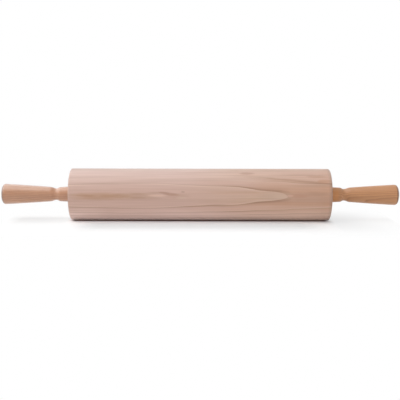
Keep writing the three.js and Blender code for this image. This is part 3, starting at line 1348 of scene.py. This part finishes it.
@dataclass
class Axle:
    """The steel axle: a thick core, and at each end a journal, a thread and a plain pilot."""

    bench: Bench
    core: float = 6.0 * MM
    core_ease: float = 0.4 * MM
    journal: float = 4.95 * MM
    relief: float = 4.05 * MM
    thread_root: float = 4.15 * MM
    thread_crest: float = 4.9 * MM
    thread_sunk: float = 4.05 * MM
    pitch: float = 1.5 * MM
    foot_half: float = 0.42
    crest_half: float = 0.08
    pilot: float = 4.0 * MM
    chamfer: float = 1.0 * MM
    shoulder_back: float = 9.55 * MM
    relief_start: float = -0.5 * MM
    thread_start: float = 1.5 * MM
    thread_end: float = 17.0 * MM
    tip: float = 58.0 * MM
    facets: int = 64

    def outline(self) -> Outline:
        """One half of the axle.

        Returns:
            The outline, from the axle's middle to its tip.
        """
        face = self.bench.layout.barrel_half
        shoulder = face - self.shoulder_back
        return Outline(
            (0.0, self.core),
            (shoulder - self.core_ease, self.core),
            (shoulder, self.core - self.core_ease),
            (shoulder, self.journal),
            (face + self.relief_start, self.journal),
            (face + self.relief_start, self.relief),
            (face + self.thread_start, self.relief),
            (face + self.thread_start, self.thread_root),
            (face + self.thread_end, self.thread_root),
            (face + self.thread_end, self.pilot),
            (face + self.tip - self.chamfer, self.pilot),
            (face + self.tip, self.pilot - self.chamfer),
            (face + self.tip, 0.0),
        )

    def wind_thread(self, mesh: bmesh.types.BMesh) -> None:
        """Wind a closed ridge round the threaded stretch.

        Args:
            mesh: The half axle that gets the thread.
        """
        length = self.thread_end - self.thread_start - self.pitch
        turns = length / self.pitch
        steps = round(turns * self.facets)
        first = self.bench.layout.barrel_half + self.thread_start + self.pitch / 2.0
        ridge = (
            (-self.foot_half, self.thread_sunk),
            (-self.crest_half, self.thread_crest),
            (self.crest_half, self.thread_crest),
            (self.foot_half, self.thread_sunk),
        )
        corners = [mesh.verts.new(at(first + share * self.pitch, radius)) for share, radius in ridge]
        edges = [mesh.edges.new(pair) for pair in zip(corners, corners[1:] + corners[:1])]
        mesh.faces.new(corners)
        wound = bmesh.ops.spin(
            mesh,
            geom=corners + edges,
            cent=ORIGIN,
            axis=PIN_AXIS,
            dvec=(length / steps, 0.0, 0.0),
            angle=FULL_TURN * turns,
            steps=steps,
            use_merge=False,
            use_duplicate=False,
        )
        last = [item for item in wound["geom_last"] if isinstance(item, bmesh.types.BMEdge)]
        bmesh.ops.contextual_create(mesh, geom=last)

    def build(self) -> None:
        """Turn one half, thread it and settle the axle from it."""
        mesh = turn(self.outline(), self.facets)
        self.wind_thread(mesh)
        self.bench.settle_halves(mesh, "axle", MetalKind.AXLE.value, "turned")


# Bearings


@dataclass
class Bearing:
    """One ball bearing: two grooved rings, seven balls in a crown cage and two dust shields."""

    bench: Bench
    end: End
    bore: float = 5.0 * MM
    outside: float = 13.0 * MM
    width: float = 8.0 * MM
    recess: float = 1.5 * MM
    edge: float = 0.3 * MM
    edge_steps: int = 4
    inner_land: float = 7.35 * MM
    outer_land: float = 10.65 * MM
    groove_steps: int = 12
    pitch_radius: float = 9.0 * MM
    ball_radius: float = 2.381 * MM
    ball_count: int = 7
    ball_levels: int = 4
    clearance: float = 0.18 * MM
    rebate: float = 11.15 * MM
    rebate_depth: float = 1.0 * MM
    shield_inside: float = 7.6 * MM
    shield_thickness: float = 0.4 * MM
    shield_lip: float = 0.7 * MM
    shield_ease: float = 0.08 * MM
    rib_height: float = 0.18 * MM
    rib_slope: float = 0.25 * MM
    rib_from_inside: float = 1.1 * MM
    rib_from_rim: float = 1.0 * MM
    cage_inside: float = 7.95 * MM
    cage_outside: float = 10.05 * MM
    cage_back: float = 2.95 * MM
    cage_front: float = 1.2 * MM
    cage_ease: float = 0.08 * MM
    cage_levels: int = 2
    corner_step: int = 10
    seat_gap: float = 0.05 * MM
    facets: int = 96

    def __post_init__(self) -> None:
        """Work out the bearing's middle, its two faces and its grooves, from the barrel's end face."""
        self.far = -self.recess
        self.near = self.far - self.width
        self.centre = (self.near + self.far) / 2.0
        self.groove = self.ball_radius + self.clearance
        self.groove_angle = math.acos((self.pitch_radius - self.inner_land) / self.groove)

    def groove_arc(self, outline: Outline, facing: float) -> None:
        """Draw the groove that the balls run in, on the side of the balls that an angle gives."""
        middle = (self.centre, self.pitch_radius)
        outline.arc(middle, self.groove, facing, self.groove_angle, self.groove_steps)

    def outer_ring(self) -> bmesh.types.BMesh:
        """The outer ring, with its groove and a rebate for each shield.

        Returns:
            The ring's mesh.
        """
        near, far, outside, edge = self.near, self.far, self.outside, self.edge
        outline = Outline((near, outside - edge))
        outline.corner((near, outside), (near + edge, outside), self.edge_steps)
        outline.lines((far - edge, outside))
        outline.corner((far, outside), (far, outside - edge), self.edge_steps)
        outline.lines(
            (far, self.rebate),
            (far - self.rebate_depth, self.rebate),
            (far - self.rebate_depth, self.outer_land),
        )
        self.groove_arc(outline, QUARTER_TURN)
        outline.lines(
            (near + self.rebate_depth, self.outer_land),
            (near + self.rebate_depth, self.rebate),
            (near, self.rebate),
        )
        return turn(outline, self.facets, ring=True)

    def inner_ring(self) -> bmesh.types.BMesh:
        """The inner ring, with its groove.

        Returns:
            The ring's mesh.
        """
        near, far, land, bore, edge = self.near, self.far, self.inner_land, self.bore, self.edge
        outline = Outline((near, bore + edge), (near, land - edge))
        outline.corner((near, land), (near + edge, land), self.edge_steps)
        self.groove_arc(outline, -QUARTER_TURN)
        outline.lines((far - edge, land))
        outline.corner((far, land), (far, land - edge), self.edge_steps)
        outline.lines((far, bore + edge))
        outline.corner((far, bore), (far - edge, bore), self.edge_steps)
        outline.lines((near + edge, bore))
        outline.corner((near, bore), (near, bore + edge), self.edge_steps)
        # The last round ends on the first point, which is there already.
        outline.points.pop()
        return turn(outline, self.facets, ring=True)

    def shield(self, side: int) -> bmesh.types.BMesh:
        """One pressed dust shield, with a rib and a rolled rim.

        Args:
            side: 1 for the shield that faces the handle, -1 for the one that faces the barrel.

        Returns:
            The shield's mesh.
        """
        base = self.width / 2.0 - self.rebate_depth + self.seat_gap
        rim = self.rebate - self.seat_gap
        thick = self.shield_thickness
        ribbed = thick + self.rib_height
        rib_from = self.shield_inside + self.rib_from_inside
        rib_to = rim - self.rib_from_rim
        levels = (
            (0.0, self.shield_inside),
            (0.0, rim),
            (self.shield_lip, rim),
            (self.shield_lip, rim - thick),
            (thick, rim - thick),
            (thick, rib_to),
            (ribbed, rib_to - self.rib_slope),
            (ribbed, rib_from + self.rib_slope),
            (thick, rib_from),
            (thick, self.shield_inside),
        )
        outline = Outline(*((self.centre + side * (base + out), radius) for out, radius in levels))
        mesh = turn(outline, self.facets, ring=True)
        ease(mesh, self.shield_ease)
        return mesh

    @staticmethod
    def ball_place(node: str) -> Vector:
        """The middle of a ball's CAD node."""
        low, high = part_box(node)
        return (low + high) / 2.0

    def ball(self, node: str) -> bmesh.types.BMesh:
        """One ball, where its CAD node is.

        Args:
            node: The CAD node.

        Returns:
            The ball's mesh.
        """
        mesh = bmesh.new()
        bmesh.ops.create_icosphere(mesh, subdivisions=self.ball_levels, radius=self.ball_radius)
        bmesh.ops.translate(mesh, vec=self.ball_place(node), verts=mesh.verts)
        return mesh

    def pocket_rays(self) -> list[tuple[Vector, Vector]]:
        """Lines from a pocket's rim to the edges of its share of the cage, on the flat.

        Returns:
            Pairs of points, each with its run round the cage and its place along the pin.
        """
        half_pitch = math.pi * self.pitch_radius / self.ball_count
        height = self.cage_front + self.cage_back
        corner = math.atan2(half_pitch, self.cage_back)
        mouth = QUARTER_TURN + math.asin(self.cage_front / self.groove)
        rays = []
        for step in range(-2 * self.corner_step, 2 * self.corner_step + 1):
            across = min(abs(step) / self.corner_step, 1.0)
            up = max(abs(step) / self.corner_step - 1.0, 0.0)
            side = math.copysign(1.0, step)
            angle = side * (corner * across + (mouth - corner) * up)
            rim = Vector((self.groove * math.sin(angle), -self.groove * math.cos(angle)))
            edge = Vector((side * half_pitch * across, height * up - self.cage_back))
            rays.append((rim, edge))
        return rays

    def pocket_share(self) -> bmesh.types.BMesh:
        """The inner skin of one pocket's share of the cage, where the first ball is.

        Returns:
            The skin's mesh, rolled round the pin's axis.
        """
        mesh = bmesh.new()
        chains = []
        for points in zip(*self.pocket_rays()):
            corners = [mesh.verts.new((*point, 0.0)) for point in points]
            chains += [mesh.edges.new(pair) for pair in zip(corners, corners[1:])]
        rungs = bmesh.ops.bridge_loops(mesh, edges=chains)["edges"]
        bmesh.ops.subdivide_edges(mesh, edges=rungs, cuts=self.cage_levels - 1)
        to_end = self.end.matrix(self.bench.layout)
        ball = to_end.inverted() @ self.ball_place(self.end.node("bearing_ball_1"))
        middle = math.atan2(ball.z, ball.y) - QUARTER_TURN
        for vert in mesh.verts:
            run, along, _ = vert.co
            roll = Matrix.Rotation(middle + run / self.pitch_radius, 3, "X")
            vert.co = roll @ at(self.centre + along, self.cage_inside)
        return mesh

    def cage(self) -> bmesh.types.BMesh:
        """The crown cage: a ring with a round pocket for each ball, open towards the handle.

        Returns:
            The cage's mesh.
        """
        mesh = self.pocket_share()
        others = self.ball_count - 1
        bmesh.ops.spin(
            mesh,
            geom=list(mesh.verts) + list(mesh.edges) + list(mesh.faces),
            cent=ORIGIN,
            axis=PIN_AXIS,
            angle=FULL_TURN * others / self.ball_count,
            steps=others,
            use_merge=False,
            use_duplicate=True,
        )
        bmesh.ops.remove_doubles(mesh, verts=mesh.verts, dist=WELD_DISTANCE)
        grown = bmesh.ops.extrude_face_region(mesh, geom=list(mesh.faces))["geom"]
        skin = [item for item in grown if isinstance(item, bmesh.types.BMVert)]
        growth = self.cage_outside / self.cage_inside
        bmesh.ops.scale(mesh, vec=(1.0, growth, growth), verts=skin)
        tidy(mesh)
        ease(mesh, self.cage_ease)
        return mesh

    def build(self) -> None:
        """Settle the rings, the shields, the balls and their cage."""
        steel, plated = MetalKind.BEARING.value, MetalKind.PLATED.value
        for mesh, piece, finish, form in (
            (self.outer_ring(), "bearing_outer_ring", steel, "ground"),
            (self.inner_ring(), "bearing_inner_ring", steel, "ground"),
            (self.shield(1), "bearing_outer_shield", plated, "pressed"),
            (self.shield(-1), "bearing_inner_shield", plated, "pressed"),
        ):
            self.bench.settle_end(mesh, self.end, piece, finish, form)
        for number in range(1, self.ball_count + 1):
            node = self.end.node(f"bearing_ball_{number}")
            self.bench.settle(self.ball(node), f"{node}_polished", steel, node)
        self.bench.settle_end(self.cage(), self.end, "bearing_cage", Nylon(), "moulded")


# Studio


def add_lamp(lamp: bpy.types.Light, towards: Triple) -> bpy.types.Object:
    """Add a lamp whose light comes from a direction.

    Args:
        lamp: The lamp.
        towards: The direction from the pin to the lamp.

    Returns:
        The lamp's object, at the origin.
    """
    added = add_object(lamp.name, lamp)
    added.rotation_euler = Vector(towards).to_track_quat("Z", "Y").to_euler()
    return added


@dataclass(frozen=True)
class SoftBox:
    """A broad soft lamp, so far off that its light is the same all along the pin."""

    name: str
    towards: Triple
    strength: float
    mirrored: bool = True
    spread: float = math.radians(52.0)

    def hang(self) -> None:
        """Add the lamp to the scene."""
        lamp = bpy.data.lights.new(self.name, "SUN")
        lamp.energy = self.strength
        lamp.angle = self.spread
        add_lamp(lamp, self.towards).visible_glossy = self.mirrored


@dataclass(frozen=True)
class NearBox:
    """A round soft lamp close by, which lights the left of the pin more than the right."""

    name: str = "near_box"
    place: Triple = (-0.6, -0.45, 1.0)
    power: float = 1.7
    width: float = 0.55

    def hang(self) -> None:
        """Add the lamp to the scene, turned to the origin."""
        lamp = bpy.data.lights.new(self.name, "AREA")
        lamp.shape = "DISK"
        lamp.size = self.width
        lamp.energy = self.power
        hung = add_lamp(lamp, self.place)
        hung.location = self.place
        hung.visible_glossy = False


@dataclass(frozen=True)
class HandleShade:
    """A soft shade on the floor under one handle, beside the shadow that the lamps cast.

    The side is -1 or 1. One fade runs out along the handle, and one away from a line under it.
    """

    side: float
    out: Fade
    depth: Fade
    forward: float = 5.0 * MM

    def share(self, along: Value) -> Value:
        """How dark the shade is.

        Args:
            along: Distance along the floor, beside the other two coordinates.

        Returns:
            A share from 0 to 1.
        """
        run = along * self.side
        same_side = Fade(0.0, self.out.stop)
        depth = abs(along.other("Y") + self.forward)
        return self.out.of(run) * same_side.of(run) * self.depth.of(depth)


@dataclass
class Studio:
    """A white floor, soft boxes round the pin and the camera."""

    layout: Layout

    # Floor colours
    floor_half: float = 12.0
    floor_bounce: Colour = (0.97, 0.97, 0.97, 1.0)
    # Painted light: the floor beside the barrel glows onto the pin's underside, and a glow that only
    # the camera and reflections see lightens the floor's shadows.
    floor_glow: Colour = (0.067, 0.061, 0.06, 1.0)
    floor_seen: Colour = (0.94, 0.912, 0.892, 1.0)
    floor_lift: Colour = (0.156, 0.189, 0.211, 1.0)
    # A painted warm, dark contact shadow where the barrel touches the floor.
    painted_contact_shadow: Colour = (0.55, 0.32, 0.27, 1.0)

    # Floor shades
    contact: Fade = Fade(9.0 * MM, 18.5 * MM)
    past_end: Fade = Fade(-8.0 * MM, 8.0 * MM)
    # Painted shade on the floor in front of the barrel and behind it.
    near_inner: Fade = Fade(18.5 * MM, 40.0 * MM)
    near_outer: Fade = Fade(124.0 * MM, 50.0 * MM, 0.25)
    near_ends: Fade = Fade(8.0 * MM, -50.0 * MM)
    # Painted light: how much of the shadow under the handles is painted out.
    handle_light: Fade = Fade(-8.0 * MM, 8.0 * MM, 0.8, 0.75)
    open_sides: Fade = Fade(264.0 * MM, 290.0 * MM)
    open_front: Fade = Fade(-122.0 * MM, -146.0 * MM)
    open_back: Fade = Fade(90.0 * MM, 190.0 * MM)
    left_shade: HandleShade = HandleShade(
        -1.0, Fade(282.0 * MM, 262.0 * MM), Fade(46.0 * MM, 8.0 * MM, 0.11)
    )
    right_shade: HandleShade = HandleShade(
        1.0, Fade(292.0 * MM, 200.0 * MM), Fade(138.0 * MM, 40.0 * MM, 0.12)
    )

    # Lamps
    surround: float = 0.08
    lamps: tuple[Union[SoftBox, NearBox], ...] = (
        SoftBox("over_box", (-0.3, -0.2, 0.93), 1.23, True, math.radians(50.0)),
        SoftBox("back_box", (-0.35, 0.55, 0.76), 0.56, True, math.radians(40.0)),
        SoftBox("front_box", (0.25, -0.9, 0.34), 0.5, False),
        SoftBox("left_box", (-0.8, 0.0, 0.6), 0.85),
        NearBox(),
    )

    # Camera
    camera_distance: float = 1.16
    camera_elevation: float = math.radians(7.5)
    camera_roll: float = math.radians(0.13)
    frame_width: float = 593.7 * MM
    aim_below_axis: float = 8.35 * MM
    aim_along: float = -0.22 * MM
    sensor: float = 36.0

    @staticmethod
    def seen_rays(shader: Shader) -> Value:
        """A mask for rays that show the surround: the camera's, a reflection or a clear piece."""
        path = shader.node("ShaderNodeLightPath", output="Is Camera Ray")
        return path | path.other("Is Glossy Ray") | path.other("Is Transmission Ray")

    def light_surround(self) -> None:
        """A world that is plain white to look at and adds a little light from every side."""
        world = bpy.data.worlds.new("white_surround")
        bpy.context.scene.world = world
        world.use_nodes = True
        shader = Shader(world.node_tree)
        fill = shader.node("ShaderNodeBackground", {}, {"Color": WHITE, "Strength": self.surround})
        seen = shader.node("ShaderNodeBackground", {}, {"Color": WHITE, "Strength": 1.0})
        mixed = shader.node("ShaderNodeMixShader", {}, [self.seen_rays(shader), fill, seen])
        shader.add("ShaderNodeOutputWorld", {}, {"Surface": mixed})

    def beyond_barrel(self, along: Value) -> Value:
        """A mask for the floor that is 0 beside the barrel and 1 beyond its ends."""
        return self.past_end.of(abs(along) - self.layout.barrel_half)

    def clear_of_contact(self, along: Value) -> Value:
        """A mask for the floor that is 0 where the barrel touches it and 1 away from there."""
        return self.contact.of(abs(along.other("Y"))) | self.beyond_barrel(along)

    def open_floor(self, along: Value) -> Value:
        """A mask for the floor that is 0 round the barrel and 1 where the floor shows plain white.
        Beyond the barrel's ends it paints most of the handles' shadows out, as painted light, and
        further out it cuts off the lamps' shadows.

        Args:
            along: Distance along the floor, beside the other two coordinates.

        Returns:
            The mask.
        """
        handles = self.beyond_barrel(along) * self.handle_light.of(along)
        sides = self.open_sides.of(abs(along))
        front = self.open_front.of(along.other("Y"))
        back = self.open_back.of(along.other("Y"))
        return handles | sides | front | back

    def floor_colour(self, shader: Shader, along: Value) -> Value:
        """The floor as it is seen: painted shade close to the barrel, and a painted warm contact
        shadow where they touch.

        Args:
            shader: The material's shader.
            along: Distance along the floor, beside the other two coordinates.

        Returns:
            The colour.
        """
        depth = abs(along.other("Y"))
        beside = self.near_ends.of(abs(along) - self.layout.barrel_half)
        shade = self.near_outer.of(depth) * self.near_inner.of(depth) * beside
        seen = shader.mix(shade, self.floor_seen, BLACK)
        return shader.mix(self.clear_of_contact(along), self.painted_contact_shadow, seen)

    @staticmethod
    def matt(shader: Shader, colour: Any, glow: Value) -> Value:
        """A matt surface with a glow of its own."""
        inputs = {
            "Base Color": colour,
            "Roughness": 1.0,
            "Specular IOR Level": 0.0,
            "Emission Color": glow,
            "Emission Strength": 1.0,
        }
        return shader.node("ShaderNodeBsdfPrincipled", {}, inputs)

    def floor_material(self) -> bpy.types.Material:
        """Make a matt white floor that keeps the pin's shadow.

        Returns:
            The material.
        """
        material, shader = new_material("white_floor")
        along = shader.axes(shader.place())
        clear = self.clear_of_contact(along)
        beside = clear * (1.0 - self.beyond_barrel(along))
        bounce = self.matt(shader, self.floor_bounce, shader.mix(beside, BLACK, self.floor_glow))
        lift = shader.mix(clear, BLACK, self.floor_lift)
        shaded = self.matt(shader, self.floor_colour(shader, along), lift)
        handle_shade = self.left_shade.share(along) + self.right_shade.share(along)
        bare = self.matt(shader, BLACK, shader.mix(handle_shade, WHITE, BLACK))
        shown = shader.node("ShaderNodeMixShader", {}, [self.open_floor(along), shaded, bare])
        surface = shader.node("ShaderNodeMixShader", {}, [self.seen_rays(shader), bounce, shown])
        shader.add("ShaderNodeOutputMaterial", {}, {"Surface": surface})
        return material

    def lay_floor(self) -> None:
        """Lay the floor under the pin."""
        mesh = bmesh.new()
        bmesh.ops.create_grid(mesh, x_segments=1, y_segments=1, size=self.floor_half)
        floor = add_mesh("studio_floor", mesh, self.floor_material())

    def set_camera(self) -> None:
        """The camera: close to level, with the whole pin across the picture."""
        lens = bpy.data.cameras.new("camera")
        lens.sensor_width = self.sensor
        lens.lens = self.sensor * self.camera_distance / self.frame_width
        camera = add_object("camera", lens)
        aim = Vector((self.aim_along, 0.0, self.layout.axis_height - self.aim_below_axis))
        back = Vector((0.0, -math.cos(self.camera_elevation), math.sin(self.camera_elevation)))
        camera.location = aim + back * self.camera_distance
        level = back.to_track_quat("Z", "Y")
        camera.rotation_euler = (level @ Quaternion((0.0, 0.0, 1.0), self.camera_roll)).to_euler()
        bpy.context.scene.camera = camera

    def build(self) -> None:
        """Set the studio up."""
        bpy.context.scene.view_settings.view_transform = "Standard"
        self.light_surround()
        for lamp in self.lamps:
            lamp.hang()
        self.lay_floor()
        self.set_camera()


def handle_woods(layout: Layout) -> dict[End, LacqueredWood]:
    """The two handles' woods, which differ a little in colour and gloss.

    Args:
        layout: The pin's main places.

    Returns:
        The wood at each end.
    """
    left = LacqueredWood(
        layout,
        "left_handle_wood",
        seed=1.0,
        light=srgb(200, 148, 114),
        tan=srgb(188, 135, 100),
        dark=srgb(167, 112, 77),
        ring_turn=math.radians(70.0),
        gloss=0.6,
        lacquer=1.0,
        haze=0.4,
        warmth=0.0,
    )
    right = LacqueredWood(
        layout,
        "right_handle_wood",
        seed=6.0,
        light=srgb(204, 149, 106),
        tan=srgb(192, 135, 93),
        dark=srgb(178, 123, 83),
        ring_turn=math.radians(40.0),
        gloss=0.35,
        lacquer=0.35,
        haze=0.0,
        warmth=0.55,
    )
    return {End.LEFT: left, End.RIGHT: right}


def main() -> None:
    """Build the pin's sub-assemblies in order, then the studio."""
    logging.basicConfig(level=logging.INFO, format="%(name)s: %(message)s")
    layout = Layout.from_frame()
    bench = Bench(layout)
    woods = handle_woods(layout)
    Barrel(bench, Maple(layout)).build()
    Axle(bench).build()
    for end in End:
        Bearing(bench, end).build()
        Fixings(bench, end).build()
        Handle(bench, end, woods[end]).build()
    Studio(layout).build()


if __name__ == "__main__":
    main()
